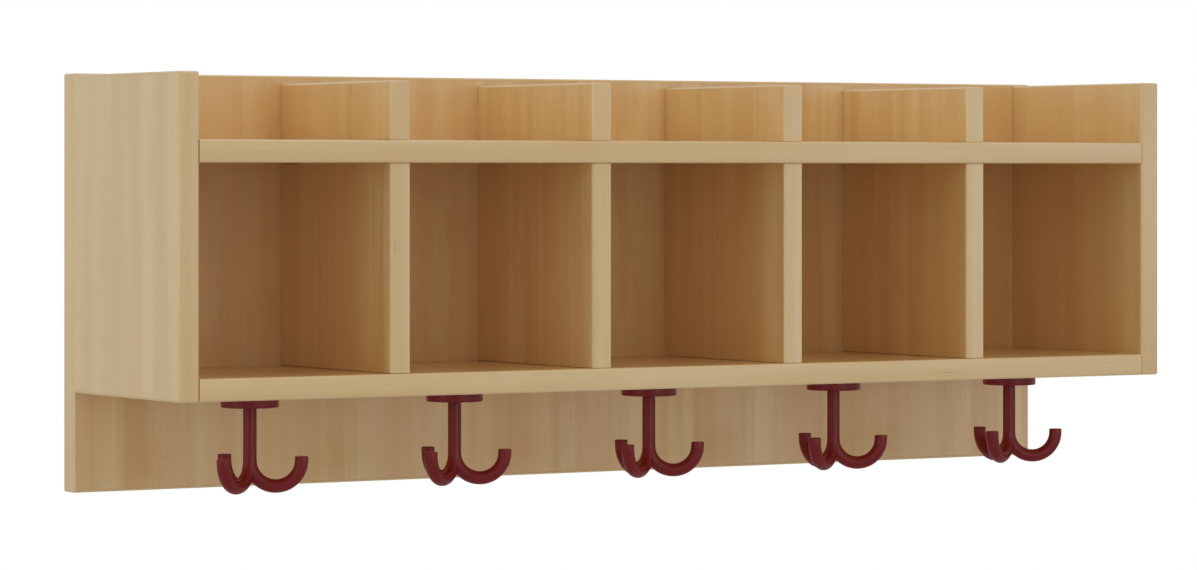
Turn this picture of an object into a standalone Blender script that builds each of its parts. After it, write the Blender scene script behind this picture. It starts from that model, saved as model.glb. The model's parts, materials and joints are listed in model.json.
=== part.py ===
"""Wall-hung cloakroom rack for a school or nursery: five open lockers under a row of five
open trays, with a swivelling triple coat hook below each locker.

Metres, +Z up. The origin is the centre of the face that bears on the wall, which is the plane
y = 0. The rack's front looks along -Y, and its width runs along X.

The carcass is 19 mm board with rounded edges where they show. Glued dowels join the boards to
each other, and screws through the back panel hold the sides and the shelves from behind. A
glued dowel is part of the board that it stands out of, and its neighbour has the hole for it.
"""

import math

import bmesh
import bpy
from mathutils import Matrix, Vector

# ---------------------------------------------------------------- driving dimensions
BOARD = 0.019  # thickness of every board
GAP = 0.0003  # clearance between neighbouring pieces
OUTSIDE = 0.001  # how far a cutting shape starts outside the face that it cuts
SAME_PLACE = 0.00002  # points closer than this are one point

WIDTH = 1.000
BACK_HEIGHT = 0.353
CARCASS_DEPTH = 0.197  # sides and shelves, in front of the back panel
CARCASS_RISE = 0.084  # underside of the lower shelf, above the back panel's bottom edge
LOCKER_HEIGHT = 0.1745  # clear height of a locker
BACK_PROUD = 0.0015  # the back panel stands this much above the side panels
DIVIDER_RECESS = 0.002  # dividers stop this far behind the shelves' front
TRAY_DIVIDER_HEIGHT = 0.0495
LOCKERS = 5

EDGE_RADIUS = 0.002  # of every edge that shows
EDGE_SEGMENTS = 3

# Triple coat hook, one bar diameter throughout
HOOK_FROM_BACK_PANEL = 0.1135  # the swivel axis, in front of the back panel
HOOK_BAR = 0.0115
HOOK_ARM_RADIUS = 0.0215  # of the bend, on the bar's centreline
HOOK_BEND_RISE = 0.0300  # centre of the bends, above the back panel's bottom edge
HOOK_TIP_LENGTH = 0.0032  # straight end above the bend
HOOK_ARMS = 3
HOOK_FIRST_ARM = math.radians(-27.5)  # direction of the first arm, from +X
BAR_SIDES = 12
BEND_STEPS = 8

BASE_DIAMETER = 0.049
BASE_THICKNESS = 0.010
BASE_FLOOR = 0.005  # wall under the pocket that holds the pivot screw's head
BASE_POCKET_DIAMETER = 0.024
BASE_EDGE = 0.0008  # chamfer round the lower rim
BASE_SIDES = 20

PIVOT_FLANGE_DIAMETER = 0.020
PIVOT_FLANGE = 0.0018
PIVOT_HEAD_DIAMETER = 0.009
PIVOT_HEAD = 0.0021
PIVOT_THREAD = 0.005
PIVOT_LENGTH = 0.016
PIVOT_DRIVE_RADIUS = 0.0022

# Fasteners: shank diameter, length, head diameter, head height
BACK_SCREW = (0.005, 0.050, 0.0095, 0.0042)
BASE_SCREW = (0.0035, 0.022, 0.007, 0.0022)
HANGER_SCREW = (0.0035, 0.014, 0.007, 0.0022)
HEAD_SUNK = 0.0002  # heads finish just below the surface
DRIVE_RADIUS = 0.42  # of a screw's drive recess, as a share of the shank's diameter
DRIVE_TAPER = 0.7  # its floor's radius, as a share of its mouth's
DRIVE_DEPTH = 0.55  # as a share of the head's height
TIP_LENGTH = 0.8  # of a screw, as a share of the shank's diameter
TIP_RADIUS = 0.06  # likewise
SCREW_SIDES = 8
BASE_SCREW_CIRCLE = 0.0180  # radius that the three base screws stand on
SIDE_SCREW_INSET = 0.045  # of a side panel's two rear screws, from its top and bottom

DOWEL_DIAMETER = 0.008
DOWEL_REACH = 0.012  # of a dowel into the neighbouring board
DIVIDER_DOWEL_REACH = 0.008  # less, where dowels enter a shelf from above and below
DOWEL_ROOT = 0.003  # of a dowel inside its own board, where the two are one solid
DOWEL_SIDES = 8
DOWEL_INSET = 0.040  # from the front and the rear edge of a board
DOWEL_CHAMFER = 0.001

# Steel hanger plates let into the rear face
HANGER_X = 0.350
HANGER_DROP = 0.050  # centre of the plate, below the back panel's top edge
HANGER_WIDTH = 0.060
HANGER_HEIGHT = 0.034
HANGER_PLATE = 0.002
HANGER_CAVITY = (0.016, 0.028, 0.010)  # room behind the keyhole for a wall screw's head
KEYHOLE_ENTRY = 0.010
KEYHOLE_SLOT = 0.0052
KEYHOLE_RISE = 0.009
HANGER_SCREW_X = 0.022

# ---------------------------------------------------------------- planes worked out from them
HALF_WIDTH = WIDTH / 2
BACK_BOTTOM = -BACK_HEIGHT / 2
BACK_TOP = BACK_HEIGHT / 2
BACK_FRONT = -BOARD  # front face of the back panel
FRONT = BACK_FRONT - CARCASS_DEPTH  # front of the sides and shelves
DIVIDER_FRONT = FRONT + DIVIDER_RECESS
INNER_HALF = HALF_WIDTH - BOARD

SIDE_BOTTOM = BACK_BOTTOM + CARCASS_RISE
SIDE_TOP = BACK_TOP - BACK_PROUD
LOWER_TOP = SIDE_BOTTOM + BOARD
UPPER_BOTTOM = LOWER_TOP + LOCKER_HEIGHT
UPPER_TOP = UPPER_BOTTOM + BOARD
TRAY_TOP = UPPER_TOP + TRAY_DIVIDER_HEIGHT

LOCKER_WIDTH = (2 * INNER_HALF - (LOCKERS - 1) * BOARD) / LOCKERS
LOCKER_PITCH = LOCKER_WIDTH + BOARD
LOCKER_X = [(i - (LOCKERS - 1) / 2) * LOCKER_PITCH for i in range(LOCKERS)]
DIVIDER_X = [x + LOCKER_PITCH / 2 for x in LOCKER_X[:-1]]
DOWEL_Y = [BACK_FRONT - DOWEL_INSET, FRONT + DOWEL_INSET]

HOOK_Y = BACK_FRONT - HOOK_FROM_BACK_PANEL
BASE_TOP = SIDE_BOTTOM - GAP
BASE_BOTTOM = SIDE_BOTTOM - BASE_THICKNESS
POCKET_FLOOR = BASE_BOTTOM + BASE_FLOOR
STEM_TOP = POCKET_FLOOR + GAP
BEND_CENTRE = BACK_BOTTOM + HOOK_BEND_RISE

X_AXIS, Y_AXIS, Z_AXIS = Vector((1, 0, 0)), Vector((0, 1, 0)), Vector((0, 0, 1))

# The faces of a board, by their normals
LEFT, RIGHT = (-1, 0, 0), (1, 0, 0)
TO_FRONT, TO_REAR = (0, -1, 0), (0, 1, 0)
DOWN, UP = (0, 0, -1), (0, 0, 1)


# ---------------------------------------------------------------- scene and materials
def clear_scene():
    for obj in list(bpy.data.objects):
        bpy.data.objects.remove(obj, do_unlink=True)


def material(name, colour, roughness, metallic=0.0):
    made = bpy.data.materials.new(name)
    made.use_nodes = True
    shader = made.node_tree.nodes["Principled BSDF"]
    shader.inputs["Base Color"].default_value = (*colour, 1.0)
    shader.inputs["Roughness"].default_value = roughness
    shader.inputs["Metallic"].default_value = metallic
    return made


def make_materials():
    return {
        "board": material("maple_board", (0.80, 0.58, 0.27), 0.42),
        "nylon": material("wine_red_nylon", (0.22, 0.011, 0.012), 0.32),
        "zinc": material("zinc_plated_steel", (0.62, 0.62, 0.60), 0.35, 1.0),
    }


# ---------------------------------------------------------------- mesh helpers
def finished_mesh(name, bm, sharp_angle=35):
    """Turns a bmesh into a mesh that is smooth but for edges sharper than an angle."""
    bmesh.ops.recalc_face_normals(bm, faces=bm.faces)
    mesh = bpy.data.meshes.new(name)
    bm.to_mesh(mesh)
    bm.free()
    mesh.shade_smooth()
    mesh.set_sharp_from_angle(angle=math.radians(sharp_angle))
    return mesh


def object_with(name, mesh, place, surface, parent):
    """Puts a mesh, modelled about its own origin, at a place under a parent."""
    obj = bpy.data.objects.new(name, mesh)
    bpy.context.scene.collection.objects.link(obj)
    if surface and not mesh.materials:
        mesh.materials.append(surface)
    obj.location = place
    obj.parent = parent
    return obj


def add_box(bm, low, high):
    """Adds a closed box between two corners."""
    low, high = Vector(low), Vector(high)
    shape = Matrix.LocRotScale((low + high) / 2, None, high - low)
    bmesh.ops.create_cube(bm, size=1.0, matrix=shape)


def add_turned(bm, profile, sides, place=(0, 0, 0), axis=Z_AXIS, closed=False):
    """Adds a turned solid. The profile's points are (along the axis, radius).

    An open profile is capped at both ends. A closed one makes a ring with a bore.
    """
    turn = Z_AXIS.rotation_difference(axis).to_matrix().to_4x4()
    move = Matrix.Translation(place) @ turn
    rings = []
    for along, radius in profile:
        ring = []
        for i in range(sides):
            angle = math.tau * (i + 0.5) / sides
            point = Vector((radius * math.cos(angle), radius * math.sin(angle), along))
            ring.append(bm.verts.new(move @ point))
        rings.append(ring)
    pairs = list(zip(rings, rings[1:]))
    if closed:
        pairs.append((rings[-1], rings[0]))
    for ring, following in pairs:
        for i in range(sides):
            j = (i + 1) % sides
            bm.faces.new((ring[i], ring[j], following[j], following[i]))
    if not closed:
        bm.faces.new(rings[0][::-1])
        bm.faces.new(rings[-1])


def round_showing_edges(bm, showing, hidden):
    """Rounds each edge of the showing narrow faces of a box, except next to a hidden face."""

    def is_rounded(edge):
        faces = {tuple(round(c) for c in face.normal) for face in edge.link_faces}
        return bool(faces & set(showing)) and not faces & set(hidden)

    bm.normal_update()
    bmesh.ops.bevel(
        bm,
        geom=[edge for edge in bm.edges if is_rounded(edge)],
        offset=EDGE_RADIUS,
        segments=EDGE_SEGMENTS,
        profile=0.5,
        affect="EDGES",
    )


def combine(obj, name, bm, operation):
    """Joins the closed shapes of a bmesh in world space to an object, or cuts them out of it."""
    mesh = finished_mesh(f"{obj.name}_{name}", bm)
    helper = bpy.data.objects.new(mesh.name, mesh)
    bpy.context.scene.collection.objects.link(helper)
    helper.hide_render = True
    helper.display_type = "WIRE"
    boolean = obj.modifiers.new(name, "BOOLEAN")
    boolean.operation = operation
    boolean.solver = "EXACT"
    boolean.use_self = True
    boolean.object = helper


def arc(centre_x, centre_z, radius, start, end, steps):
    """Points along an arc, both ends included."""
    angles = [start + (end - start) * i / steps for i in range(steps + 1)]
    return [
        (centre_x + radius * math.cos(a), centre_z + radius * math.sin(a)) for a in angles
    ]


class Holes:
    """Collects every hole of one board, then cuts them all at once."""

    def __init__(self):
        self.bm = bmesh.new()

    def turned(self, profile, sides, place, axis):
        add_turned(self.bm, profile, sides, place, axis)

    def box(self, low, high):
        add_box(self.bm, low, high)

    def keyhole(self, place, depth):
        """A round entry with a narrower slot above it, right through a plate at y = 0."""
        entry, slot = KEYHOLE_ENTRY / 2, KEYHOLE_SLOT / 2
        flank = math.asin(slot / entry)
        outline = arc(0, 0, entry, math.pi / 2 + flank, 2.5 * math.pi - flank, 16)
        outline += arc(0, KEYHOLE_RISE, slot, 0, math.pi, 6)
        start = place - Z_AXIS * KEYHOLE_RISE / 2
        ends = [
            [self.bm.verts.new(start + Vector((x, y, z))) for x, z in outline]
            for y in (-2 * depth, depth)
        ]
        near, far = ends
        count = len(outline)
        for i in range(count):
            j = (i + 1) % count
            self.bm.faces.new((near[i], near[j], far[j], far[i]))
        self.bm.faces.new(near[::-1])
        self.bm.faces.new(far)

    def cut_from(self, obj):
        combine(obj, "holes", self.bm, "DIFFERENCE")


# ---------------------------------------------------------------- fastener shapes
def screw_profile(shank, length, head, head_height):
    """Countersunk screw with a round drive recess. It starts at the head's top."""
    recess = shank * DRIVE_RADIUS
    return [
        (HEAD_SUNK + head_height * DRIVE_DEPTH, recess * DRIVE_TAPER),
        (HEAD_SUNK, recess),
        (HEAD_SUNK, head / 2),
        (HEAD_SUNK + head_height, shank / 2),
        (HEAD_SUNK + length - shank * TIP_LENGTH, shank / 2),
        (HEAD_SUNK + length, shank * TIP_RADIUS),
    ]


def screw_hole_profile(shank, length, head, head_height):
    """The screw's hole, which starts outside the face that the head is let into."""
    return [
        (-OUTSIDE, head / 2 + GAP),
        (HEAD_SUNK + GAP, head / 2 + GAP),
        (HEAD_SUNK + head_height + GAP, shank / 2 + GAP),
        (HEAD_SUNK + length + GAP, shank / 2 + GAP),
    ]


def back_screw_places():
    """Where screws enter the rear face: two for each side panel and three for each shelf."""
    places = []
    for x in (-HALF_WIDTH + BOARD / 2, HALF_WIDTH - BOARD / 2):
        for z in (SIDE_BOTTOM + SIDE_SCREW_INSET, SIDE_TOP - SIDE_SCREW_INSET):
            places.append(Vector((x, 0, z)))
    for z in (SIDE_BOTTOM + BOARD / 2, UPPER_BOTTOM + BOARD / 2):
        for x in LOCKER_X[::2]:
            places.append(Vector((x, 0, z)))
    return places


def base_screw_offsets():
    """The three screws of a hook base, about the swivel axis, one between each two arms."""
    step = math.tau / HOOK_ARMS
    angles = [HOOK_FIRST_ARM + step * (i + 0.5) for i in range(HOOK_ARMS)]
    return [
        Vector((math.cos(a), math.sin(a), 0)) * BASE_SCREW_CIRCLE for a in angles
    ]


def hook_places():
    return [Vector((x, HOOK_Y, 0)) for x in LOCKER_X]


def hanger_places():
    return [Vector((x, 0, BACK_TOP - HANGER_DROP)) for x in (-HANGER_X, HANGER_X)]


def hanger_screw_places():
    return [
        place + X_AXIS * dx
        for place in hanger_places()
        for dx in (-HANGER_SCREW_X, HANGER_SCREW_X)
    ]


class Dowels:
    """Glued dowels: stubs that stand out of one board, and the holes for them in others."""

    def __init__(self, places, direction, reach):
        self.places = places
        self.direction = direction
        self.reach = reach

    def stand_out_of(self, obj):
        """Joins the stubs to their own board. The places lie in its surface."""
        radius = DOWEL_DIAMETER / 2
        profile = [
            (-DOWEL_ROOT, radius),
            (self.reach - DOWEL_CHAMFER, radius),
            (self.reach, radius - DOWEL_CHAMFER),
        ]
        bm = bmesh.new()
        for place in self.places:
            add_turned(bm, profile, DOWEL_SIDES, place, self.direction)
        combine(obj, "dowels", bm, "UNION")

    def drill(self, holes):
        """Adds the holes that the stubs go into to those of a neighbouring board."""
        radius = DOWEL_DIAMETER / 2 + GAP
        profile = [(-OUTSIDE, radius), (self.reach + GAP, radius)]
        for place in self.places:
            holes.turned(profile, DOWEL_SIDES, place, self.direction)


def shelf_dowels(bottom, outward):
    """In one end of a shelf, pointing into the side panel."""
    x, z = outward * (INNER_HALF - GAP), bottom + BOARD / 2
    places = [Vector((x, y, z)) for y in DOWEL_Y]
    return Dowels(places, X_AXIS * outward, DOWEL_REACH)


def divider_dowels(xs, height, direction):
    """In the foot or the head of dividers, pointing into the shelf there."""
    places = [Vector((x, y, height)) for x in xs for y in DOWEL_Y]
    return Dowels(places, direction, DIVIDER_DOWEL_REACH)


# ---------------------------------------------------------------- boards
def board(name, low, high, surface, parent, showing=(), hidden=()):
    low, high = Vector(low), Vector(high)
    centre = (low + high) / 2
    bm = bmesh.new()
    add_box(bm, low - centre, high - centre)
    if showing:
        round_showing_edges(bm, showing, hidden)
    return object_with(name, finished_mesh(name, bm), centre, surface, parent)


def make_back_panel(surface, parent):
    panel = board(
        "back_panel",
        (-HALF_WIDTH, BACK_FRONT, BACK_BOTTOM),
        (HALF_WIDTH, 0, BACK_TOP),
        surface,
        parent,
        showing=(LEFT, RIGHT, DOWN, UP),
        hidden=(TO_REAR,),
    )
    outside = Y_AXIS * OUTSIDE
    holes = Holes()
    for place in back_screw_places():
        holes.turned(screw_hole_profile(*BACK_SCREW), SCREW_SIDES, place, -Y_AXIS)
    for place in hanger_places():
        pocket = Vector((HANGER_WIDTH / 2 + GAP, 0, HANGER_HEIGHT / 2 + GAP))
        depth = Y_AXIS * (HANGER_PLATE + 2 * GAP)
        holes.box(place - pocket - depth, place + pocket + outside)
        cavity = Vector((HANGER_CAVITY[0] / 2, 0, HANGER_CAVITY[1] / 2))
        depth = Y_AXIS * HANGER_CAVITY[2]
        holes.box(place - cavity - depth, place + cavity + outside)
    for place in hanger_screw_places():
        pilot = HANGER_SCREW[0] / 2 + GAP
        profile = [(HANGER_PLATE / 2, pilot), (HANGER_SCREW[1] + 2 * GAP, pilot)]
        holes.turned(profile, SCREW_SIDES, place, -Y_AXIS)
    holes.cut_from(panel)


def make_side_panel(name, outward, surface, parent):
    """outward is -1 for the left panel and 1 for the right one."""
    inner, outer = sorted((outward * INNER_HALF, outward * HALF_WIDTH))
    panel = board(
        name,
        (inner, FRONT, SIDE_BOTTOM),
        (outer, BACK_FRONT - GAP, SIDE_TOP),
        surface,
        parent,
        showing=(TO_FRONT, DOWN, UP),
        hidden=(TO_REAR,),
    )
    holes = Holes()
    for bottom in (SIDE_BOTTOM, UPPER_BOTTOM):
        shelf_dowels(bottom, outward).drill(holes)
    for place in back_screw_places():
        if abs(place.x - outward * (HALF_WIDTH - BOARD / 2)) < BOARD / 2:
            holes.turned(screw_hole_profile(*BACK_SCREW), SCREW_SIDES, place, -Y_AXIS)
    holes.cut_from(panel)


def make_shelf(name, bottom, surface, parent):
    """A shelf has dowels in both ends, and takes the dividers' dowels in its faces."""
    shelf = board(
        name,
        (-INNER_HALF + GAP, FRONT, bottom),
        (INNER_HALF - GAP, BACK_FRONT - GAP, bottom + BOARD),
        surface,
        parent,
        showing=(TO_FRONT,),
        hidden=(TO_REAR, LEFT, RIGHT),
    )
    for outward in (-1, 1):
        shelf_dowels(bottom, outward).stand_out_of(shelf)
    holes = Holes()
    for place in back_screw_places():
        if abs(place.z - bottom - BOARD / 2) < BOARD / 2 and abs(place.x) < INNER_HALF:
            holes.turned(screw_hole_profile(*BACK_SCREW), SCREW_SIDES, place, -Y_AXIS)
    divider_dowels(DIVIDER_X, bottom + BOARD + GAP, -Z_AXIS).drill(holes)
    if bottom == UPPER_BOTTOM:
        divider_dowels(DIVIDER_X, bottom - GAP, Z_AXIS).drill(holes)
    else:
        drill_base_screw_pilots(holes)
    holes.cut_from(shelf)


def drill_base_screw_pilots(holes):
    pilot = BASE_SCREW[0] / 2 + GAP
    depth = BASE_SCREW[1] - BASE_THICKNESS + 2 * GAP
    for place in hook_places():
        for offset in base_screw_offsets():
            start = place + offset + Z_AXIS * SIDE_BOTTOM
            holes.turned([(-OUTSIDE, pilot), (depth, pilot)], SCREW_SIDES, start, Z_AXIS)


def make_locker_divider(number, x, surface, parent):
    divider = board(
        f"locker_divider_{number}",
        (x - BOARD / 2, DIVIDER_FRONT, LOWER_TOP + GAP),
        (x + BOARD / 2, BACK_FRONT - GAP, UPPER_BOTTOM - GAP),
        surface,
        parent,
        showing=(TO_FRONT,),
        hidden=(TO_REAR, DOWN, UP),
    )
    divider_dowels([x], LOWER_TOP + GAP, -Z_AXIS).stand_out_of(divider)
    divider_dowels([x], UPPER_BOTTOM - GAP, Z_AXIS).stand_out_of(divider)


def make_tray_divider(number, x, surface, parent):
    divider = board(
        f"tray_divider_{number}",
        (x - BOARD / 2, DIVIDER_FRONT, UPPER_TOP + GAP),
        (x + BOARD / 2, BACK_FRONT - GAP, TRAY_TOP),
        surface,
        parent,
        showing=(TO_FRONT, UP),
        hidden=(TO_REAR, DOWN),
    )
    divider_dowels([x], UPPER_TOP + GAP, -Z_AXIS).stand_out_of(divider)


# ---------------------------------------------------------------- hooks
def hook_centreline():
    """Stem, bend and tip of one arm, as (radius, height, direction of the bend's radius)."""
    points = [(0.0, STEM_TOP, 0.0), (0.0, BEND_CENTRE, 0.0)]
    for i in range(1, BEND_STEPS + 1):
        turn = math.pi * i / BEND_STEPS
        radius = HOOK_ARM_RADIUS * (1 - math.cos(turn))
        height = BEND_CENTRE - HOOK_ARM_RADIUS * math.sin(turn)
        points.append((radius, height, turn))
    points.append((2 * HOOK_ARM_RADIUS, BEND_CENTRE + HOOK_TIP_LENGTH, math.pi))
    return points


def add_arm(bm):
    """Sweeps the bar along stem, bend and tip, with the arm along +X. The stem's top is open."""
    rings = []
    for radius, height, turn in hook_centreline():
        outward = Vector((-math.cos(turn), 0, -math.sin(turn)))
        ring = []
        for i in range(BAR_SIDES):
            angle = math.tau * i / BAR_SIDES
            offset = outward * math.cos(angle) + Y_AXIS * math.sin(angle)
            centre = Vector((radius, 0, height))
            ring.append(bm.verts.new(centre + offset * HOOK_BAR / 2))
        rings.append(ring)
    for ring, following in zip(rings, rings[1:]):
        for i in range(BAR_SIDES):
            j = (i + 1) % BAR_SIDES
            bm.faces.new((ring[i], ring[j], following[j], following[i]))
    bm.faces.new(rings[-1])


def keep_sector(bm):
    """Cuts away all of the arm outside its own third of the circle round the stem."""
    half = math.pi / HOOK_ARMS
    for side in (-1, 1):
        normal = Vector((-math.sin(half), side * math.cos(half), 0))
        bmesh.ops.bisect_plane(
            bm,
            geom=[*bm.verts, *bm.edges, *bm.faces],
            dist=SAME_PLACE / 10,
            plane_co=(0, 0, 0),
            plane_no=normal,
            clear_outer=True,
        )


def close_stem_with_bore(bm):
    """Closes the stem's top with a flat ring and the blind hole that takes the pivot screw."""
    bore = PIVOT_THREAD / 2 + GAP
    depth = PIVOT_LENGTH + 3 * GAP
    loop = [
        e
        for e in bm.edges
        if e.is_boundary and all(abs(v.co.z - STEM_TOP) < SAME_PLACE for v in e.verts)
    ]
    for radius, height in ((bore, STEM_TOP), (bore, STEM_TOP - depth)):
        made = bmesh.ops.extrude_edge_only(bm, edges=loop)["geom"]
        for v in (g for g in made if isinstance(g, bmesh.types.BMVert)):
            flat = Vector((v.co.x, v.co.y, 0)).normalized() * radius
            v.co = flat + Z_AXIS * height
        loop = [g for g in made if isinstance(g, bmesh.types.BMEdge)]
    bmesh.ops.holes_fill(bm, edges=loop, sides=0)


def hook_mesh():
    """Three arms and their common stem as one moulding, about the swivel axis."""
    sector = bmesh.new()
    add_arm(sector)
    keep_sector(sector)
    third = bpy.data.meshes.new("hook_third")
    sector.to_mesh(third)
    sector.free()
    bm = bmesh.new()
    for i in range(HOOK_ARMS):
        start = len(bm.verts)
        bm.from_mesh(third)
        bm.verts.ensure_lookup_table()
        turn = Matrix.Rotation(HOOK_FIRST_ARM + math.tau * i / HOOK_ARMS, 4, "Z")
        bmesh.ops.transform(bm, matrix=turn, verts=bm.verts[start:])
    bpy.data.meshes.remove(third)
    bmesh.ops.remove_doubles(bm, verts=bm.verts, dist=SAME_PLACE)
    close_stem_with_bore(bm)
    return finished_mesh("hook", bm, 50)


def base_mesh():
    """Turned base with a bore for the stem and a pocket above it for the pivot screw's head."""
    outer = BASE_DIAMETER / 2
    bore = HOOK_BAR / 2 + GAP
    pocket = BASE_POCKET_DIAMETER / 2
    profile = [
        (BASE_BOTTOM, bore),
        (BASE_BOTTOM, outer - BASE_EDGE),
        (BASE_BOTTOM + BASE_EDGE, outer),
        (BASE_TOP, outer),
        (BASE_TOP, pocket),
        (POCKET_FLOOR, pocket),
        (POCKET_FLOOR, bore),
    ]
    bm = bmesh.new()
    add_turned(bm, profile, BASE_SIDES, closed=True)
    return finished_mesh("hook_base", bm)


def pivot_screw_mesh():
    """Flanged screw that hangs the hook in its base and turns with it."""
    flange_low = STEM_TOP + GAP
    flange_high = flange_low + PIVOT_FLANGE
    head_top = flange_high + PIVOT_HEAD
    profile = [
        (STEM_TOP - PIVOT_LENGTH, PIVOT_THREAD / 2),
        (flange_low, PIVOT_THREAD / 2),
        (flange_low, PIVOT_FLANGE_DIAMETER / 2),
        (flange_high, PIVOT_FLANGE_DIAMETER / 2),
        (flange_high, PIVOT_HEAD_DIAMETER / 2),
        (head_top, PIVOT_HEAD_DIAMETER / 2),
        (head_top, PIVOT_DRIVE_RADIUS),
        (head_top - PIVOT_HEAD, PIVOT_DRIVE_RADIUS),
    ]
    bm = bmesh.new()
    add_turned(bm, profile, BAR_SIDES)
    return finished_mesh("hook_pivot_screw", bm)


def make_hooks(surfaces, parent):
    """Each hook and its pivot screw hang under an empty on their swivel axis."""
    hook, base, pivot = hook_mesh(), base_mesh(), pivot_screw_mesh()
    for number, place in enumerate(hook_places(), start=1):
        swivel = bpy.data.objects.new(f"swivel_{number}", None)
        bpy.context.scene.collection.objects.link(swivel)
        swivel.location = place
        swivel.parent = parent
        object_with(f"hook_{number}", hook, (0, 0, 0), surfaces["nylon"], swivel)
        object_with(f"hook_pivot_screw_{number}", pivot, (0, 0, 0), surfaces["zinc"], swivel)
        own_base = object_with(f"hook_base_{number}", base, place, surfaces["nylon"], parent)
        holes = Holes()
        for offset in base_screw_offsets():
            start = place + offset + Z_AXIS * BASE_BOTTOM
            holes.turned(screw_hole_profile(*BASE_SCREW), SCREW_SIDES, start, Z_AXIS)
        holes.cut_from(own_base)


# ---------------------------------------------------------------- fasteners and hangers
def screw_mesh(name, size, axis):
    bm = bmesh.new()
    add_turned(bm, screw_profile(*size), SCREW_SIDES, axis=axis)
    return finished_mesh(name, bm, 50)


def make_screws(surface, parent):
    back = screw_mesh("back_screw", BACK_SCREW, -Y_AXIS)
    for number, place in enumerate(back_screw_places(), start=1):
        object_with(f"back_screw_{number}", back, place, surface, parent)
    hanger = screw_mesh("hanger_screw", HANGER_SCREW, -Y_AXIS)
    for number, place in enumerate(hanger_screw_places(), start=1):
        object_with(f"hanger_screw_{number}", hanger, place, surface, parent)
    base = screw_mesh("base_screw", BASE_SCREW, Z_AXIS)
    for hook, hook_place in enumerate(hook_places(), start=1):
        for letter, offset in zip("abc", base_screw_offsets()):
            place = hook_place + offset + Z_AXIS * BASE_BOTTOM
            object_with(f"base_screw_{hook}{letter}", base, place, surface, parent)


def make_hanger(name, place, surface, parent):
    """Steel plate flush in the rear face, with a keyhole that drops over a wall screw."""
    half = Vector((HANGER_WIDTH / 2, 0, HANGER_HEIGHT / 2))
    plate = board(
        name,
        place - half - Y_AXIS * (HANGER_PLATE + GAP),
        place + half - Y_AXIS * GAP,
        surface,
        parent,
    )
    holes = Holes()
    holes.keyhole(place, HANGER_PLATE + 2 * GAP)
    for dx in (-HANGER_SCREW_X, HANGER_SCREW_X):
        start = place + X_AXIS * dx
        holes.turned(screw_hole_profile(*HANGER_SCREW), SCREW_SIDES, start, -Y_AXIS)
    holes.cut_from(plate)


# ---------------------------------------------------------------- assembly
def main():
    clear_scene()
    surfaces = make_materials()
    rack = bpy.data.objects.new("rack", None)
    bpy.context.scene.collection.objects.link(rack)
    wood = surfaces["board"]

    make_back_panel(wood, rack)
    make_side_panel("side_panel_left", -1, wood, rack)
    make_side_panel("side_panel_right", 1, wood, rack)
    make_shelf("lower_shelf", SIDE_BOTTOM, wood, rack)
    make_shelf("upper_shelf", UPPER_BOTTOM, wood, rack)
    for number, x in enumerate(DIVIDER_X, start=1):
        make_locker_divider(number, x, wood, rack)
        make_tray_divider(number, x, wood, rack)
    make_hooks(surfaces, rack)
    make_screws(surfaces["zinc"], rack)
    for name, place in zip(("left", "right"), hanger_places()):
        make_hanger(f"wall_hanger_{name}", place, surfaces["zinc"], rack)


main()
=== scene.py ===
"""Looks of a wall-hung cloakroom rack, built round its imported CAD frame.

Metres, +Z up, the rack's front towards -Y, the wall at y = 0. Every piece is made where the
frame's boxes put it. Boards are a veneered core with 2 mm edge bands. Hooks are nylon.
"""

import json
import math

import bmesh
import bpy
from mathutils import Matrix, Vector


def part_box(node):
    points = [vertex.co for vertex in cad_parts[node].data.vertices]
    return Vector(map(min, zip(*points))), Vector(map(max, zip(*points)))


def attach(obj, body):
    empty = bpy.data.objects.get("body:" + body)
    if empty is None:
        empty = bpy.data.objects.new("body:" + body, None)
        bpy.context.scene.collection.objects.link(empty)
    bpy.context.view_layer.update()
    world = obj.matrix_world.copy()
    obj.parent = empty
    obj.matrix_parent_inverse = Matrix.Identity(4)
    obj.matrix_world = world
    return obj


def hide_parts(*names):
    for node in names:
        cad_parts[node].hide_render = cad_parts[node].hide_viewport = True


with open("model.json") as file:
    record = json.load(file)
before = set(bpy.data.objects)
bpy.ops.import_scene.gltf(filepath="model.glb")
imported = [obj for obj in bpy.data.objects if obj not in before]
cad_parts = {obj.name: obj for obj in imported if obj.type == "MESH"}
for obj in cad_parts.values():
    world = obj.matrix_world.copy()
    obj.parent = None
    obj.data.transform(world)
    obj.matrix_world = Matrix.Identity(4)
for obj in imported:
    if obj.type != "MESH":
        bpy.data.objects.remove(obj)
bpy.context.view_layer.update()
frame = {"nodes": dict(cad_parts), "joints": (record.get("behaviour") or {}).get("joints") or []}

RACK = "rack"
LOCKERS = 5
X, Y, Z = 0, 1, 2
SAME_PLACE = 1e-6  # nearer than this is the same place

# Camera: level, to the left of the rack, with its frame shifted down
LENS = 138.29
SENSOR_WIDTH = 36
LENS_SHIFT = -0.0959
CAMERA_PLACE = (-2.149, -3.545, 0.095)
CAMERA_AZIMUTH = -31.573

# Studio
GAMMA = 0.90
FLOOR_HEIGHT = -1.25
FLOOR_RADIUS = 11.0
SURROUND = 0.635  # strength of the white surround's light
LIGHTS = (
    # name, place, (width, height), watts, colour, seen in gloss only
    ("overhead", (0, -0.3, 3.0), (2.5, 2.5), 7, (0.65, 0.85, 1.0), False),
    ("front", (0, -2.2, 2.3), (2.5, 2.0), 4, (1.0, 1.0, 1.0), False),
    ("left", (-3.5, -0.6, 0.2), (2.0, 2.0), 10, (0.60, 0.85, 1.0), False),
    ("sheen", (2.7, -2.8, 0.2), (1.0, 1.0), 2.4, (0.45, 0.75, 1.0), True),
)
HOOK_LIGHT = ("streak", (0.45, -3.2, 0.1), (2.2, 1.2), 12, (1.0, 1.0, 1.0), True)
LIGHTS_AIM = (0, -0.1, 0)

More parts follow.
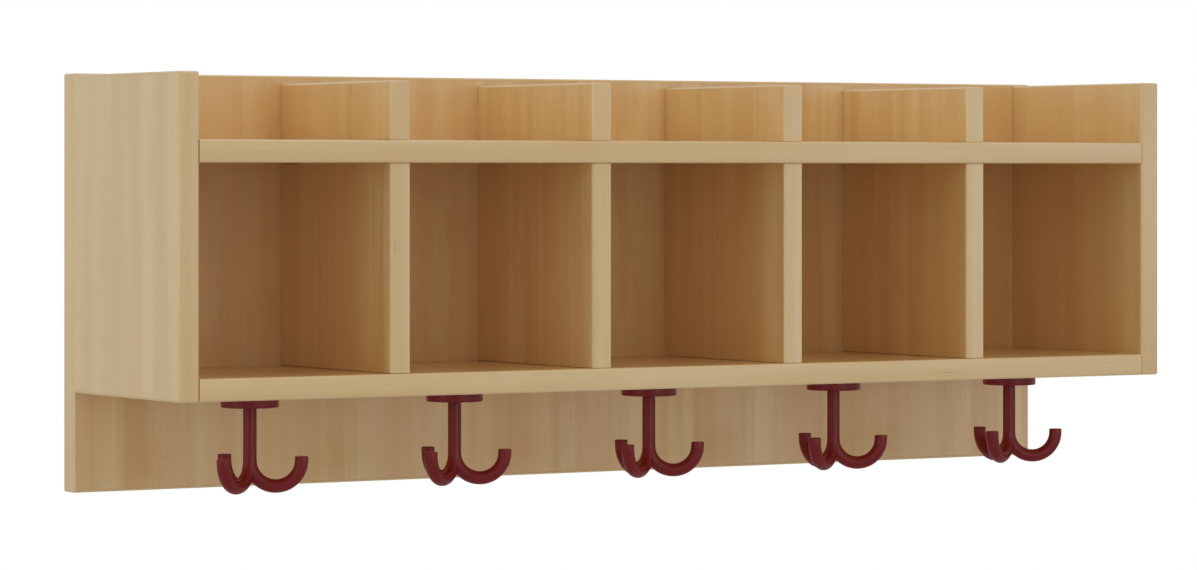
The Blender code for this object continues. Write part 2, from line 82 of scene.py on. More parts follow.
# Boards
BAND = 0.002  # thickness of the edge band
BAND_RADIUS = 0.0018
BAND_SEGMENTS = 5
SEAM = 0.00018  # chamfer on both sides of the line where a band meets its board
BAND_FIGURE = 0.4  # contrast of the grain on edge bands
SIDE_FIGURE = 0.5  # and on the side panels
BAND_SEEDS_APART = 0.31

# Hooks
BAR_RADIUS = 0.00575
BEND_RADIUS = 0.0215
TIP_RISE = 0.0032  # how far an arm's end stands above the centre of its bend
TIP_ROUND = 0.0009  # rounding of an arm's flat end
ARMS = 3
FIRST_ARM = math.radians(-27.5)
BAR_SIDES = 24
BEND_STEPS = 24
STEM_STEPS = 6
BASE_SIDES = 64
BASE_ROUND = 0.0013  # rounding of the base's lower rim
BORE_CHAMFER = 0.0004
RUNNING_GAP = 0.0003  # round the stem where it enters the base
POCKET_GAP = 0.002  # round the flange of the pivot screw

# Fasteners
SCREW_SIDES = 32
SCREW_EDGE = 0.0002  # chamfer round a head
CROSS_REACH, CROSS_WIDTH = 0.62, 0.13  # of the cross recess, as shares of the head's radius
CROSS_DEPTH = 0.75  # as a share of the head's height
CROSS_TAPER, CROSS_DRAFT = 0.55, 0.7  # its floor's length and width as shares of its mouth's
BACK_SCREW = (0.0025, 0.0042)  # shank radius and height of the head
SMALL_SCREW = (0.00175, 0.0022)
BACK_SCREW_HOLE = (0.0027, 0.0002, 0.0044, 0.018)  # shank, rim, end of the sink, bottom
BASE_SCREW_HOLE = (0.0019, 0.0001, 0.0026, 0.020)
PLATE_SCREW_HOLE = (0.002, 0.0004, 0.0024, 0.010)
TURN_BETWEEN_SCREWS = 0.9  # each screw's cross is turned on from the last one's
HOLE_GAP = 0.0002
OUTSIDE = 0.001  # how far a cutter stands out of the face that it cuts

# Keyhole plates
PLATE_CORNER = 0.004
PLATE_EDGE = 0.0003
KEYHOLE_ENTRY = 0.005  # radius of the hole for a screw's head
KEYHOLE_SLOT = 0.0026  # and of the slot's end for its shank
KEYHOLE_RISE = 0.009
CAVITY = (0.008, 0.014)  # half width and half height of the space behind a keyhole
CAVITY_CORNER = 0.0078
CAVITY_DEPTH = 0.010


# ---------------------------------------------------------------- camera, stage and light
def make_camera():
    data = bpy.data.cameras.new("camera")
    data.sensor_fit = "HORIZONTAL"
    data.sensor_width = SENSOR_WIDTH
    data.lens = LENS
    data.shift_y = LENS_SHIFT
    data.clip_end = 200
    camera = bpy.data.objects.new("camera", data)
    bpy.context.scene.collection.objects.link(camera)
    camera.location = CAMERA_PLACE
    camera.rotation_euler = (math.radians(90), 0, math.radians(CAMERA_AZIMUTH))
    bpy.context.scene.camera = camera


def make_floor():
    """A pale studio floor, as far below the rack as a real one would be."""
    bm = bmesh.new()
    bmesh.ops.create_circle(bm, cap_ends=True, segments=96, radius=FLOOR_RADIUS)
    bmesh.ops.translate(bm, verts=bm.verts, vec=(0, 0, FLOOR_HEIGHT))
    mesh = bpy.data.meshes.new("floor")
    bm.to_mesh(mesh)
    bm.free()
    floor = bpy.data.objects.new("floor", mesh)
    bpy.context.scene.collection.objects.link(floor)
    tree = Tree("studio_floor")
    patches = tree.noise(tree.coordinates(), 1.5, 3, 0.5)
    tree.set("Base Color", tree.blend(patches, (0.66, 0.66, 0.66), (0.70, 0.70, 0.70)))
    tree.set("Roughness", 0.7)
    mesh.materials.append(tree.material)


def make_light(name, place, size, power, colour, only_gloss, lit=()):
    """A rectangular light. It can be seen in gloss only, and light only the pieces in lit."""
    data = bpy.data.lights.new(name, "AREA")
    data.shape = "RECTANGLE"
    data.size, data.size_y = size
    data.energy = power
    data.color = colour
    light = bpy.data.objects.new(name, data)
    bpy.context.scene.collection.objects.link(light)
    light.location = place
    light.visible_diffuse = not only_gloss
    aim = Vector(LIGHTS_AIM) - Vector(place)
    light.rotation_euler = aim.to_track_quat("-Z", "Y").to_euler()
    if lit:
        group = bpy.data.collections.new(f"lit_by_{name}")
        for piece in lit:
            group.objects.link(piece)
        light.light_linking.receiver_collection = group


def make_world():
    """A white surround that lights the rack evenly, and looks pure white behind it."""
    world = bpy.data.worlds.new("studio")
    bpy.context.scene.world = world
    world.use_nodes = True
    nodes, links = world.node_tree.nodes, world.node_tree.links
    light = nodes["Background"]
    light.inputs["Color"].default_value = (0.99, 0.995, 1.01, 1)
    light.inputs["Strength"].default_value = SURROUND
    seen = nodes.new("ShaderNodeBackground")
    seen.inputs["Color"].default_value = (1, 1, 1, 1)
    seen.inputs["Strength"].default_value = 1.0
    path = nodes.new("ShaderNodeLightPath")
    mix = nodes.new("ShaderNodeMixShader")
    links.new(path.outputs["Is Camera Ray"], mix.inputs[0])
    links.new(light.outputs[0], mix.inputs[1])
    links.new(seen.outputs[0], mix.inputs[2])
    links.new(mix.outputs[0], nodes["World Output"].inputs["Surface"])


def make_studio():
    view = bpy.context.scene.view_settings
    view.view_transform = "Standard"
    view.gamma = GAMMA
    make_camera()
    make_world()
    make_floor()
    for settings in LIGHTS:
        make_light(*settings)


# ---------------------------------------------------------------- material nodes
class Tree:
    """The node tree of one material, written as nested calls."""

    def __init__(self, name):
        self.material = bpy.data.materials.new(name)
        self.material.use_nodes = True
        self.nodes = self.material.node_tree.nodes
        self.links = self.material.node_tree.links
        self.shader = self.nodes["Principled BSDF"]

    def feed(self, socket, value):
        if isinstance(value, bpy.types.NodeSocket):
            self.links.new(value, socket)
        elif socket.type == "RGBA" and len(value) == 3:
            socket.default_value = (*value, 1.0)
        else:
            socket.default_value = value

    def set(self, name, value):
        self.feed(self.shader.inputs[name], value)

    def coordinates(self):
        return self.nodes.new("ShaderNodeTexCoord").outputs["Object"]

    def split(self, vector):
        node = self.nodes.new("ShaderNodeSeparateXYZ")
        self.feed(node.inputs[0], vector)
        return list(node.outputs)

    def join(self, x, y, z):
        node = self.nodes.new("ShaderNodeCombineXYZ")
        for socket, value in zip(node.inputs, (x, y, z)):
            self.feed(socket, value)
        return node.outputs[0]

    def math(self, operation, a, b):
        node = self.nodes.new("ShaderNodeMath")
        node.operation = operation
        self.feed(node.inputs[0], a)
        self.feed(node.inputs[1], b)
        return node.outputs[0]

    def scaled(self, vector, scale):
        node = self.nodes.new("ShaderNodeVectorMath")
        node.operation = "MULTIPLY"
        self.feed(node.inputs[0], vector)
        node.inputs[1].default_value = scale
        return node.outputs[0]

    def noise(self, vector, scale, detail=2.0, roughness=0.5):
        node = self.nodes.new("ShaderNodeTexNoise")
        self.feed(node.inputs["Vector"], vector)
        node.inputs["Scale"].default_value = scale
        node.inputs["Detail"].default_value = detail
        node.inputs["Roughness"].default_value = roughness
        return node.outputs["Fac"]

    def voronoi(self, vector, scale, feature="F1", output="Distance", spread=1.0):
        node = self.nodes.new("ShaderNodeTexVoronoi")
        node.feature = feature
        self.feed(node.inputs["Vector"], vector)
        node.inputs["Scale"].default_value = scale
        node.inputs["Randomness"].default_value = spread
        return node.outputs[output]

    def remap(self, value, low, high, to_low=0.0, to_high=1.0):
        """Maps low..high to to_low..to_high, smoothly and clamped."""
        node = self.nodes.new("ShaderNodeMapRange")
        node.interpolation_type = "SMOOTHSTEP"
        self.feed(node.inputs["Value"], value)
        node.inputs["From Min"].default_value = low
        node.inputs["From Max"].default_value = high
        node.inputs["To Min"].default_value = to_low
        node.inputs["To Max"].default_value = to_high
        return node.outputs["Result"]

    def blend(self, factor, a, b):
        node = self.nodes.new("ShaderNodeMix")
        node.data_type = "RGBA"
        factor_socket, a_socket, b_socket = node.inputs[0], node.inputs[6], node.inputs[7]
        self.feed(factor_socket, factor)
        self.feed(a_socket, a)
        self.feed(b_socket, b)
        return node.outputs[2]

    def tinted(self, colour, tint, layer, low, high, share):
        """A colour that goes over to a tint, by up to a share, as a layer goes from low to high."""
        return self.blend(self.remap(layer, low, high, 0.0, share), colour, tint)

    def bump(self, height, strength, distance):
        node = self.nodes.new("ShaderNodeBump")
        self.feed(node.inputs["Height"], height)
        node.inputs["Strength"].default_value = strength
        node.inputs["Distance"].default_value = distance
        return node.outputs["Normal"]


# Colours of the lacquered veneer
LIGHT = (0.955, 0.715, 0.350)
DEEP = (0.825, 0.515, 0.180)
ROSY = (0.910, 0.600, 0.268)
PORE = (0.42, 0.20, 0.06)

# Cells per metre across the face, through it and along the grain, then detail and roughness
BANDS = ((42, 42, 1.5), 2.0, 0.5)
FLUSHES = ((26, 26, 2.0), 1.0, 0.5)
BLOTCHES = ((28, 28, 9), 3.0, 0.6)
STREAKS = ((160, 160, 3), 2.0, 0.55)
FIBRES = ((1100, 1100, 12), 2.0, 0.6)
RAYS = ((420, 420, 60), 1.0, 0.5)
CLOUDS = ((9, 9, 4), 2.0, 0.5)
WANDER = ((5, 5, 2.5), 1.0, 0.5)
WANDER_WIDTH = 0.014  # the fibres wander sideways by as much over a board's length

STAVE = 0.075  # mean width of the strips that the veneer is joined from
STAVE_SPREAD = 0.6  # how uneven they are
JOINT_WIDTH = 0.007  # as a share of a strip

# Dark marks: cells per metre, share of the cells with a mark, its radius in cells, its depth
DASHES = ((160, 160, 22), 0.35, 0.12, 0.25)
FLECKS = ((75, 75, 7), 0.30, 0.08, 0.45)
KNOTS = ((11, 11, 4.5), 0.15, 0.035, 0.40)

# How far the pattern moves for each step of the seed, across, through and along the grain
SEED_STEPS = (1.37, 0.96, 0.41)


def wood(name, grain, across, seed, figure=1.0, staves=True):
    """Clear-lacquered maple veneer: grain and across are axes of the row frame.

    figure is the contrast of the grain's bands, from 0 to 1.
    """
    tree = Tree(name)
    axes = tree.split(tree.coordinates())
    through = 3 - grain - across
    side, depth, along = (
        tree.math("ADD", axes[axis], seed * step)
        for axis, step in zip((across, through, grain), SEED_STEPS)
    )
    plain = tree.join(side, depth, along)

    def layer(settings, space):
        scale, detail, roughness = settings
        return tree.noise(tree.scaled(space, scale), 1.0, detail, roughness)

    wander = tree.math("MULTIPLY", layer(WANDER, plain), WANDER_WIDTH)
    fibre_space = tree.join(tree.math("ADD", side, wander), depth, along)
    fibres = layer(FIBRES, fibre_space)

    palest = (1 - figure) * 0.3
    banding = tree.remap(layer(BANDS, fibre_space), 0.38, 0.62, palest, palest + figure)
    colour = tree.blend(banding, LIGHT, DEEP)
    colour = tree.tinted(colour, ROSY, layer(FLUSHES, fibre_space), 0.45, 0.60, 0.65 * figure)
    colour = tree.tinted(colour, DEEP, layer(BLOTCHES, fibre_space), 0.50, 0.68, 0.6 * figure)
    colour = tree.tinted(colour, DEEP, layer(STREAKS, fibre_space), 0.45, 0.75, 0.30)
    if staves:
        colour = with_staves(tree, colour, side, figure)
    colour = tree.tinted(colour, DEEP, layer(CLOUDS, plain), 0.40, 0.75, 0.3 * figure)
    colour = tree.tinted(colour, DEEP, fibres, 0.45, 0.75, 0.12)
    colour = tree.tinted(colour, PORE, layer(RAYS, fibre_space), 0.66, 0.82, 0.12)
    for marks in (DASHES, FLECKS, KNOTS):
        colour = marked(tree, colour, fibre_space, *marks)

    tree.set("Base Color", colour)
    tree.set("Roughness", tree.remap(fibres, 0.3, 0.8, 0.38, 0.48))
    tree.set("Specular IOR Level", 0.9)
    tree.set("Coat Weight", 1.0)
    tree.set("Coat Roughness", 0.30)
    tree.set("Coat IOR", 1.8)
    tree.set("Normal", tree.bump(fibres, 0.10, 0.0002))
    return tree.material


def with_staves(tree, colour, side, figure):
    """Gives each strip of the veneer its own tone, and draws the fine joints between them."""
    strip = tree.join(side, 0.0, 0.0)
    tones = tree.voronoi(strip, 1 / STAVE, output="Color", spread=STAVE_SPREAD)
    depth, warmth, _ = tree.split(tones)
    colour = tree.tinted(colour, DEEP, depth, 0.1, 0.9, 0.45 * figure)
    colour = tree.tinted(colour, ROSY, warmth, 0.4, 0.9, 0.35 * figure)
    edge = tree.voronoi(strip, 1 / STAVE, "DISTANCE_TO_EDGE", spread=STAVE_SPREAD)
    return tree.blend(tree.remap(edge, 0.0, JOINT_WIDTH, 0.12, 0.0), colour, PORE)


def marked(tree, colour, fibre_space, scale, share, radius, depth):
    """Dark marks drawn out along the grain, in a share of the cells of a given scale."""
    cells = tree.scaled(fibre_space, scale)
    chance = tree.split(tree.voronoi(cells, 1.0, output="Color"))[0]
    chosen = tree.math("LESS_THAN", chance, share)
    mark = tree.remap(tree.voronoi(cells, 1.0), radius * 0.4, radius, depth, 0.0)
    return tree.blend(tree.math("MULTIPLY", mark, chosen), colour, PORE)


def nylon():
    """Dark wine-red moulded nylon with a satin skin."""
    tree = Tree("wine_red_nylon")
    place = tree.coordinates()
    flow = tree.noise(place, 35, 3, 0.5)
    tree.set("Base Color", tree.blend(flow, (0.230, 0.0100, 0.0100), (0.268, 0.0118, 0.0118)))
    handled = tree.noise(place, 120, 3, 0.5)
    tree.set("Roughness", tree.remap(handled, 0.3, 0.7, 0.30, 0.38))
    tree.set("Specular IOR Level", 0.42)
    skin = tree.noise(place, 2600, 1, 0.5)
    tree.set("Normal", tree.bump(skin, 0.05, 0.00004))
    return tree.material


def zinc():
    """Zinc-plated steel with faint rolling marks."""
    tree = Tree("zinc_plated_steel")
    place = tree.coordinates()
    marks = tree.noise(tree.scaled(place, (60, 900, 900)), 1.0, 3, 0.6)
    cast = tree.noise(place, 90, 3, 0.5)
    tree.set("Base Color", tree.blend(cast, (0.60, 0.61, 0.62), (0.70, 0.69, 0.66)))
    tree.set("Metallic", 1.0)
    tree.set("Roughness", tree.remap(marks, 0.3, 0.7, 0.28, 0.44))
    tree.set("Normal", tree.bump(marks, 0.08, 0.0001))
    return tree.material


# ---------------------------------------------------------------- mesh helpers
def finish_mesh(name, bm, angle=35):
    bmesh.ops.recalc_face_normals(bm, faces=bm.faces)
    mesh = bpy.data.meshes.new(name)
    bm.to_mesh(mesh)
    bm.free()
    mesh.shade_smooth()
    mesh.set_sharp_from_angle(angle=math.radians(angle))
    return mesh


def put(name, mesh, place=(0, 0, 0)):
    piece = bpy.data.objects.new(name, mesh)
    bpy.context.scene.collection.objects.link(piece)
    piece.location = place
    return piece


def carve(mesh, cutter_bm):
    """Cuts the closed shapes of a bmesh out of a mesh, for good, and returns the result."""
    piece = put("carved", mesh)
    cutter = put("cutter", finish_mesh("cutter", cutter_bm))
    boolean = piece.modifiers.new("cut", "BOOLEAN")
    boolean.operation = "DIFFERENCE"
    boolean.solver = "EXACT"
    boolean.use_self = True
    boolean.object = cutter
    bpy.context.view_layer.update()
    evaluated = piece.evaluated_get(bpy.context.evaluated_depsgraph_get())
    result = bpy.data.meshes.new_from_object(evaluated)
    result.name = mesh.name
    for used in (piece, cutter):
        bpy.data.objects.remove(used, do_unlink=True)
    result.shade_smooth()
    result.set_sharp_from_angle(angle=math.radians(35))
    return result


def add_turned(bm, profile, sides, place=(0, 0, 0), axis=(0, 0, 1), closed=False):
    """Adds a turned solid from (along the axis, radius) points. A closed profile is a ring."""
    turn = Vector((0, 0, 1)).rotation_difference(Vector(axis)).to_matrix().to_4x4()
    move = Matrix.Translation(place) @ turn
    rings = []
    for along, radius in profile:
        angles = [math.tau * (i + 0.5) / sides for i in range(sides)]
        rings.append(
            [
                bm.verts.new(move @ Vector((radius * math.cos(a), radius * math.sin(a), along)))
                for a in angles
            ]
        )
    pairs = list(zip(rings, rings[1:]))
    if closed:
        pairs.append((rings[-1], rings[0]))
    for ring, following in pairs:
        for i in range(sides):
            j = (i + 1) % sides
            bm.faces.new((ring[i], ring[j], following[j], following[i]))
    if not closed:
        bm.faces.new(rings[0][::-1])
        bm.faces.new(rings[-1])


def arc(centre, radius, start, end, steps):
    """Points on an arc in a plane, from one angle in degrees to another."""
    angles = [math.radians(start + (end - start) * i / steps) for i in range(steps + 1)]
    return [
        (centre[0] + radius * math.cos(a), centre[1] + radius * math.sin(a)) for a in angles
    ]


# ---------------------------------------------------------------- boards
def is_on(face, axis, sign):
    return face.normal[axis] * sign > 0.99


def band_mesh(name, low, high, out, rounded_faces, whole):
    """A strip of edge band. It is round where two of the board's own outer faces meet.

    out is the (axis, sign) that the strip looks along, whole the board's own box, and
    rounded_faces the board's faces that lie open.
    """
    bm = bmesh.new()
    size = high - low
    bmesh.ops.create_cube(
        bm, size=1.0, matrix=Matrix.LocRotScale((low + high) / 2, None, size)
    )
    bm.normal_update()

    def board_face(face):
        """The (axis, sign) of the board's own face that this face lies in, if any."""
        for axis in (X, Y, Z):
            for sign in (-1, 1):
                corner = whole[1] if sign > 0 else whole[0]
                if is_on(face, axis, sign):
                    at = face.calc_center_median()[axis]
                    return (axis, sign) if abs(at - corner[axis]) < SAME_PLACE else None
        return None

    rounded = []
    for edge in bm.edges:
        faces = [board_face(face) for face in edge.link_faces]
        if all(f in rounded_faces for f in faces):
            rounded.append(edge)
    bmesh.ops.bevel(
        bm,
        geom=rounded,
        offset=BAND_RADIUS,
        segments=BAND_SEGMENTS,
        profile=0.5,
        affect="EDGES",
    )
    axis, sign = out
    inner = low[axis] if sign > 0 else high[axis]
    seam = [
        e for e in bm.edges if all(abs(v.co[axis] - inner) < SAME_PLACE for v in e.verts)
    ]
    bmesh.ops.bevel(bm, geom=seam, offset=SEAM, segments=1, affect="EDGES")
    return finish_mesh(name, bm, 30)


def make_board(node, box, grain, across, bands, closed, seed, figure=1.0, cutters=None):
    """One board: a core and its edge bands, which stand for the CAD node.

    bands lists the (axis, sign) faces that are banded, those with the longest strips first.
    closed lists the faces that butt against other boards.
    """
    low, high = Vector(box[0]), Vector(box[1])
    whole = (low.copy(), high.copy())
    faces = {(axis, sign) for axis in (X, Y, Z) for sign in (-1, 1)} - set(closed)
    strips = []
    for number, (axis, sign) in enumerate(bands):
        strip_low, strip_high = low.copy(), high.copy()
        if sign > 0:
            high[axis] -= BAND
            strip_low[axis] = high[axis]
        else:
            low[axis] += BAND
            strip_high[axis] = low[axis]
        name = f"{node}_band_{'xyz'[axis]}_{'high' if sign > 0 else 'low'}"
        mesh = band_mesh(name, strip_low, strip_high, (axis, sign), faces, whole)
        size = strip_high - strip_low
        length_axis = max((X, Y, Z), key=lambda k: size[k])
        width_axis = 3 - length_axis - axis
        own_seed = seed + BAND_SEEDS_APART * (number + 1)
        finish = wood(name, length_axis, width_axis, own_seed, BAND_FIGURE, staves=False)
        mesh.materials.append(finish)
        strips.append(put(name, mesh))
    bm = bmesh.new()
    bmesh.ops.create_cube(
        bm, size=1.0, matrix=Matrix.LocRotScale((low + high) / 2, None, high - low)
    )
    bmesh.ops.bevel(bm, geom=bm.edges[:], offset=SEAM, segments=1, affect="EDGES")
    mesh = finish_mesh(f"{node}_core", bm, 20)
    if cutters:
        mesh = carve(mesh, cutters)
    mesh.materials.append(wood(node, grain, across, seed, figure))
    core = put(f"{node}_core", mesh)
    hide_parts(node)
    for piece in [core, *strips]:
        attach(piece, RACK)


def names_of(prefix):
    return sorted(name for name in frame["nodes"] if name.startswith(prefix))


def make_boards():
    front, rear = (Y, -1), (Y, 1)
    left, right, down, up = (X, -1), (X, 1), (Z, -1), (Z, 1)
    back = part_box("back_panel")
    banded = (left, right, down, up)
    make_board("back_panel", back, Z, X, banded, (rear,), 1, cutters=rear_face_cutters())
    for number, name in enumerate(("left", "right")):
        node = f"side_panel_{name}"
        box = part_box(node)
        make_board(node, box, Z, Y, (front, down, up), (rear,), 2 + number, SIDE_FIGURE)
    inner_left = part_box("side_panel_left")[1].x
    inner_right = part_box("side_panel_right")[0].x
    gap = back[0].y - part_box("side_panel_left")[1].y
    shelves = {name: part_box(name) for name in ("lower_shelf", "upper_shelf")}
    for number, (node, (low, high)) in enumerate(shelves.items()):
        low.x, high.x = inner_left + gap, inner_right - gap
        box = (low, high)
        make_board(node, box, X, Y, (front,), (rear, left, right), 4 + number)
    for number in range(1, LOCKERS):
        node = f"locker_divider_{number}"
        low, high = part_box(node)
        low.z = shelves["lower_shelf"][1].z + gap
        high.z = shelves["upper_shelf"][0].z - gap
        make_board(node, (low, high), Z, Y, (front,), (rear, down, up), 6 + number)
        node = f"tray_divider_{number}"
        low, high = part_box(node)
        low.z = shelves["upper_shelf"][1].z + gap
        make_board(node, (low, high), Z, Y, (front, up), (rear, down), 12 + number)


def rear_face_cutters():
    """Countersunk holes for the back screws, and pockets for the hanger plates."""
    bm = bmesh.new()
    for node in names_of("back_screw_"):
        low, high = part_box(node)
        middle = (low + high) / 2
        profile = hole_profile((high.x - low.x) / 2 + HOLE_GAP * 2, BACK_SCREW_HOLE)
        add_turned(bm, profile, SCREW_SIDES, (middle.x, 0, middle.z), (0, -1, 0))
    for name in ("left", "right"):
        low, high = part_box(f"wall_hanger_{name}")
        gap = Vector((HOLE_GAP, 0, HOLE_GAP))
        pocket = rounded_rectangle(low - gap, high + gap, PLATE_CORNER)
        add_prism(bm, pocket, low.y - HOLE_GAP, OUTSIDE)
        middle = (low + high) / 2
        half = Vector((CAVITY[0], 0, CAVITY[1]))
        cavity = rounded_rectangle(middle - half, middle + half, CAVITY_CORNER)
        add_prism(bm, cavity, -CAVITY_DEPTH, OUTSIDE)
    return bm


def hole_profile(head, hole, flare=0.0012):
    """Profile of a countersunk hole, from outside the face inwards."""
    shank, rim, sink, bottom = hole
    return [(-OUTSIDE, head + flare), (rim, head), (sink, shank), (bottom, shank)]


def rounded_rectangle(low, high, radius):
    """Outline in X and Z, anticlockwise."""
    corners = (
        (high.x - radius, high.z - radius, 0),
        (low.x + radius, high.z - radius, 90),
        (low.x + radius, low.z + radius, 180),
        (high.x - radius, low.z + radius, 270),
    )
    return [
        point
        for x, z, start in corners
        for point in arc((x, z), radius, start, start + 90, 6)
    ]


def add_prism(bm, outline, near, far):
    """A closed outline in X and Z, made solid between two values of Y."""
    ends = [[bm.verts.new((x, y, z)) for x, z in outline] for y in (near, far)]
    count = len(outline)
    for i in range(count):
        j = (i + 1) % count
        bm.faces.new((ends[0][i], ends[0][j], ends[1][j], ends[1][i]))
    bm.faces.new(ends[0][::-1])
    bm.faces.new(ends[1])


# ---------------------------------------------------------------- hooks
def arm_path(stem_top, bend_centre, tip):
    """(radius, height, turn, bar radius) along one arm, from the stem's top to the tip."""
    path = [(0.0, stem_top, 0.0, BAR_RADIUS)]
    for i in range(1, STEM_STEPS + 1):
        height = stem_top + (bend_centre - stem_top) * i / STEM_STEPS
        path.append((0.0, height, 0.0, BAR_RADIUS))
    for i in range(1, BEND_STEPS + 1):
        turn = math.pi * i / BEND_STEPS
        radius = BEND_RADIUS * (1 - math.cos(turn))
        height = bend_centre - BEND_RADIUS * math.sin(turn)
        path.append((radius, height, turn, BAR_RADIUS))
    rim = arc((BAR_RADIUS - TIP_ROUND, tip - TIP_ROUND), TIP_ROUND, 0, 90, 4)
    for bar, height in rim:
        path.append((2 * BEND_RADIUS, height, math.pi, bar))
    return path


def hook_mesh(stem_top, bend_centre, tip):
    """One third of the hook is an arm, cut to its own sector. Three of them make the hook."""
    sector = bmesh.new()
    rings = []
    for radius, height, turn, bar in arm_path(stem_top, bend_centre, tip):
        outward = Vector((-math.cos(turn), 0, -math.sin(turn)))
        ring = []
        for i in range(BAR_SIDES):
            angle = math.tau * i / BAR_SIDES
            offset = outward * math.cos(angle) + Vector((0, math.sin(angle), 0))
            ring.append(sector.verts.new(Vector((radius, 0, height)) + offset * bar))
        rings.append(ring)
    for ring, following in zip(rings, rings[1:]):
        for i in range(BAR_SIDES):
            j = (i + 1) % BAR_SIDES
            sector.faces.new((ring[i], ring[j], following[j], following[i]))
    sector.faces.new(rings[-1])
    half = math.pi / ARMS
    for side in (-1, 1):
        normal = (-math.sin(half), side * math.cos(half), 0)
        bmesh.ops.bisect_plane(
            sector,
            geom=[*sector.verts, *sector.edges, *sector.faces],
            dist=SAME_PLACE,
            plane_co=(0, 0, 0),
            plane_no=normal,
            clear_outer=True,
        )
    third = bpy.data.meshes.new("third")
    sector.to_mesh(third)
    sector.free()
    bm = bmesh.new()
    for i in range(ARMS):
        start = len(bm.verts)
        bm.from_mesh(third)
        bm.verts.ensure_lookup_table()
        turn = Matrix.Rotation(FIRST_ARM + math.tau * i / ARMS, 4, "Z")
        bmesh.ops.transform(bm, matrix=turn, verts=bm.verts[start:])
    bpy.data.meshes.remove(third)
    bmesh.ops.remove_doubles(bm, verts=bm.verts, dist=2e-5)
    top = [
        e
        for e in bm.edges
        if e.is_boundary and all(abs(v.co.z - stem_top) < 1e-5 for v in e.verts)
    ]
    bmesh.ops.holes_fill(bm, edges=top, sides=0)
    return finish_mesh("hook", bm, 40)


def base_mesh(low, high, screws, pocket, pocket_floor):
    """The round base under the shelf, with its bore and three countersunk holes.

    A pocket of a given radius, open at the top, holds the head of the hook's pivot screw.
    """
    outer = (high.x - low.x) / 2
    bore = BAR_RADIUS + RUNNING_GAP
    top, bottom = high.z, low.z
    rim = arc((outer - BASE_ROUND, bottom + BASE_ROUND), BASE_ROUND, -90, 0, 6)
    profile = [(bottom + BORE_CHAMFER, bore), (bottom, bore + BORE_CHAMFER)]
    profile += [(height, radius) for radius, height in rim]
    profile += [(top, outer), (top, pocket), (pocket_floor, pocket), (pocket_floor, bore)]
    bm = bmesh.new()
    add_turned(bm, profile, BASE_SIDES, closed=True)
    mesh = finish_mesh("hook_base", bm)
    cutters = bmesh.new()
    for offset, head in screws:
        place = (offset.x, offset.y, bottom)
        add_turned(cutters, hole_profile(head, BASE_SCREW_HOLE), SCREW_SIDES, place)
    return carve(mesh, cutters)


def make_hooks():
    """The five hooks and their bases. Returns all these nylon pieces."""
    finish = nylon()
    hook_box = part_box("hook_1")
    base_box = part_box("hook_base_1")
    axis_1 = axis_of(1)
    stem_top, bend_centre = hook_box[1].z, hook_box[0].z + BAR_RADIUS + BEND_RADIUS
    hook = hook_mesh(stem_top, bend_centre, bend_centre + TIP_RISE)
    hook.materials.append(finish)
    screws = []
    for node in names_of("base_screw_1"):
        low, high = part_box(node)
        middle = (low + high) / 2
        offset = Vector((middle.x - axis_1.x, middle.y - axis_1.y, 0))
        screws.append((offset, (high.x - low.x) / 2 + HOLE_GAP * 2))
    flange_low, flange_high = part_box("hook_pivot_screw_1")
    pocket = (flange_high.x - flange_low.x) / 2 + POCKET_GAP
    base = base_mesh(*base_box, screws, pocket, stem_top - RUNNING_GAP)
    base.materials.append(finish)
    nylon_pieces = []
    for number in range(1, LOCKERS + 1):
        place = axis_of(number)
        piece = put(f"triple_hook_{number}", hook, place)
        nylon_pieces.append(piece)
        smooth(piece)
        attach(piece, f"swivel_hook_{number}")
        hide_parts(f"hook_{number}")
        piece = put(f"hook_rosette_{number}", base, place)
        nylon_pieces.append(piece)
        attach(piece, RACK)
        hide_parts(f"hook_base_{number}")
    return nylon_pieces


def axis_of(number):
    """The swivel axis of a hook, at height zero."""
    for joint in frame["joints"]:
        if joint["name"] == f"hook_{number}_swivel":
            x, y, _ = joint["pos_m"]
            return Vector((x, y, 0))
    raise ValueError(f"hook {number} has no joint")


def smooth(piece):
    subdivide = piece.modifiers.new("smooth", "SUBSURF")
    subdivide.levels = subdivide.render_levels = 1


# ---------------------------------------------------------------- fasteners and hangers
def screw_mesh(name, head, shank, length, head_height):
    """Countersunk screw with a cross recess, head at the origin, pointing along +Z."""
    profile = [
        (0.0, head - SCREW_EDGE),
        (SCREW_EDGE, head),
        (head_height, shank),
        (length - shank * 1.6, shank),
        (length, shank * 0.1),
    ]
    bm = bmesh.new()
    add_turned(bm, profile, SCREW_SIDES)
    mesh = finish_mesh(name, bm)
    recess = bmesh.new()
    reach, width, depth = head * CROSS_REACH, head * CROSS_WIDTH, head_height * CROSS_DEPTH
    for quarter in range(2):
        turn = Matrix.Rotation(math.pi / 2 * quarter, 4, "Z")
        top = [(-reach, -width), (reach, -width), (reach, width), (-reach, width)]
        mouth = [recess.verts.new(turn @ Vector((x, y, -0.0005))) for x, y in top]
        floor = [
            recess.verts.new(turn @ Vector((x * CROSS_TAPER, y * CROSS_DRAFT, depth)))
            for x, y in top
        ]
        for i in range(4):
            j = (i + 1) % 4
            recess.faces.new((mouth[i], mouth[j], floor[j], floor[i]))
        recess.faces.new(mouth[::-1])
        recess.faces.new(floor)
    return carve(mesh, recess)


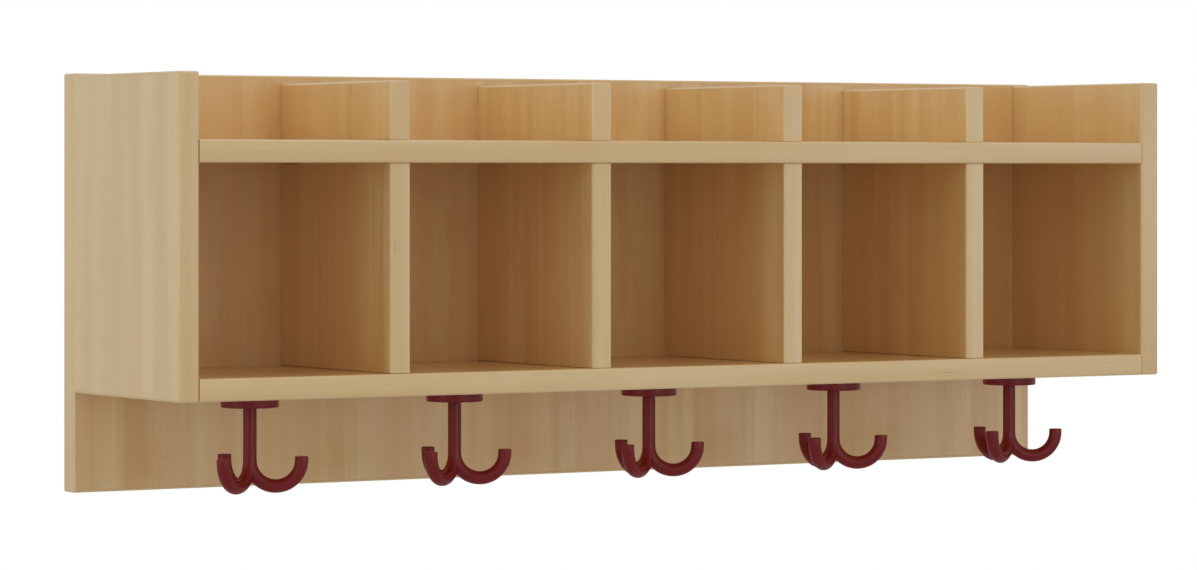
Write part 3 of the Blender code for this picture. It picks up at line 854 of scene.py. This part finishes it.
def make_screws(finish, prefix, size, axis):
    """Detailed screws in place of the CAD ones, each turned a little differently."""
    shank, head_height = size
    turn_to_axis = Vector((0, 0, 1)).rotation_difference(Vector(axis))
    mesh = None
    for number, node in enumerate(names_of(prefix)):
        low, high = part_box(node)
        middle = (low + high) / 2
        place = middle.copy()
        head = (high.x - low.x) / 2
        if axis[Z]:
            place.z, length = low.z, high.z - low.z
        else:
            place.y, length = high.y, high.y - low.y
        if mesh is None:
            mesh = screw_mesh(prefix + "mesh", head, shank, length, head_height)
            mesh.materials.append(finish)
        piece = put(f"{node}_detail", mesh, place)
        piece.rotation_mode = "QUATERNION"
        spin = Matrix.Rotation(number * TURN_BETWEEN_SCREWS, 3, "Z").to_quaternion()
        piece.rotation_quaternion = turn_to_axis @ spin
        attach(piece, RACK)
        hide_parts(node)


def make_hangers(finish):
    """Steel plates with rounded corners, a keyhole and two countersunk holes."""
    for name in ("left", "right"):
        low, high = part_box(f"wall_hanger_{name}")
        middle = (low + high) / 2
        bm = bmesh.new()
        outline = rounded_rectangle(low, high, PLATE_CORNER)
        add_prism(bm, outline, low.y, high.y)
        flat = [
            e for e in bm.edges if abs(e.verts[0].co.y - e.verts[1].co.y) < SAME_PLACE
        ]
        bmesh.ops.bevel(bm, geom=flat, offset=PLATE_EDGE, segments=2, affect="EDGES")
        mesh = finish_mesh(f"hanger_plate_{name}", bm)
        cutters = bmesh.new()
        flank = math.degrees(math.asin(KEYHOLE_SLOT / KEYHOLE_ENTRY))
        bottom, top = middle.z - KEYHOLE_RISE / 2, middle.z + KEYHOLE_RISE / 2
        keyhole = arc((middle.x, bottom), KEYHOLE_ENTRY, 90 + flank, 450 - flank, 28)
        keyhole += arc((middle.x, top), KEYHOLE_SLOT, 0, 180, 10)
        add_prism(cutters, keyhole, low.y - OUTSIDE, high.y + OUTSIDE)
        for node in names_of("hanger_screw_"):
            screw_low, screw_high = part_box(node)
            place = (screw_low + screw_high) / 2
            if low.x < place.x < high.x:
                head = (screw_high.x - screw_low.x) / 2 + HOLE_GAP
                hole = hole_profile(head, PLATE_SCREW_HOLE, flare=0.001)
                add_turned(cutters, hole, SCREW_SIDES, (place.x, 0, place.z), (0, -1, 0))
        mesh = carve(mesh, cutters)
        mesh.materials.append(finish)
        piece = put(f"hanger_plate_{name}", mesh)
        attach(piece, RACK)
        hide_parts(f"wall_hanger_{name}")


def make_fasteners():
    finish = zinc()
    make_screws(finish, "back_screw_", BACK_SCREW, (0, -1, 0))
    make_screws(finish, "hanger_screw_", SMALL_SCREW, (0, -1, 0))
    make_screws(finish, "base_screw_", SMALL_SCREW, (0, 0, 1))
    make_hangers(finish)
    for number in range(1, LOCKERS + 1):
        node = frame["nodes"][f"hook_pivot_screw_{number}"]
        node.data.materials.clear()
        node.data.materials.append(finish)


# ---------------------------------------------------------------- assembly
make_studio()
make_boards()
nylon_pieces = make_hooks()
make_fasteners()
make_light(*HOOK_LIGHT, lit=nylon_pieces)
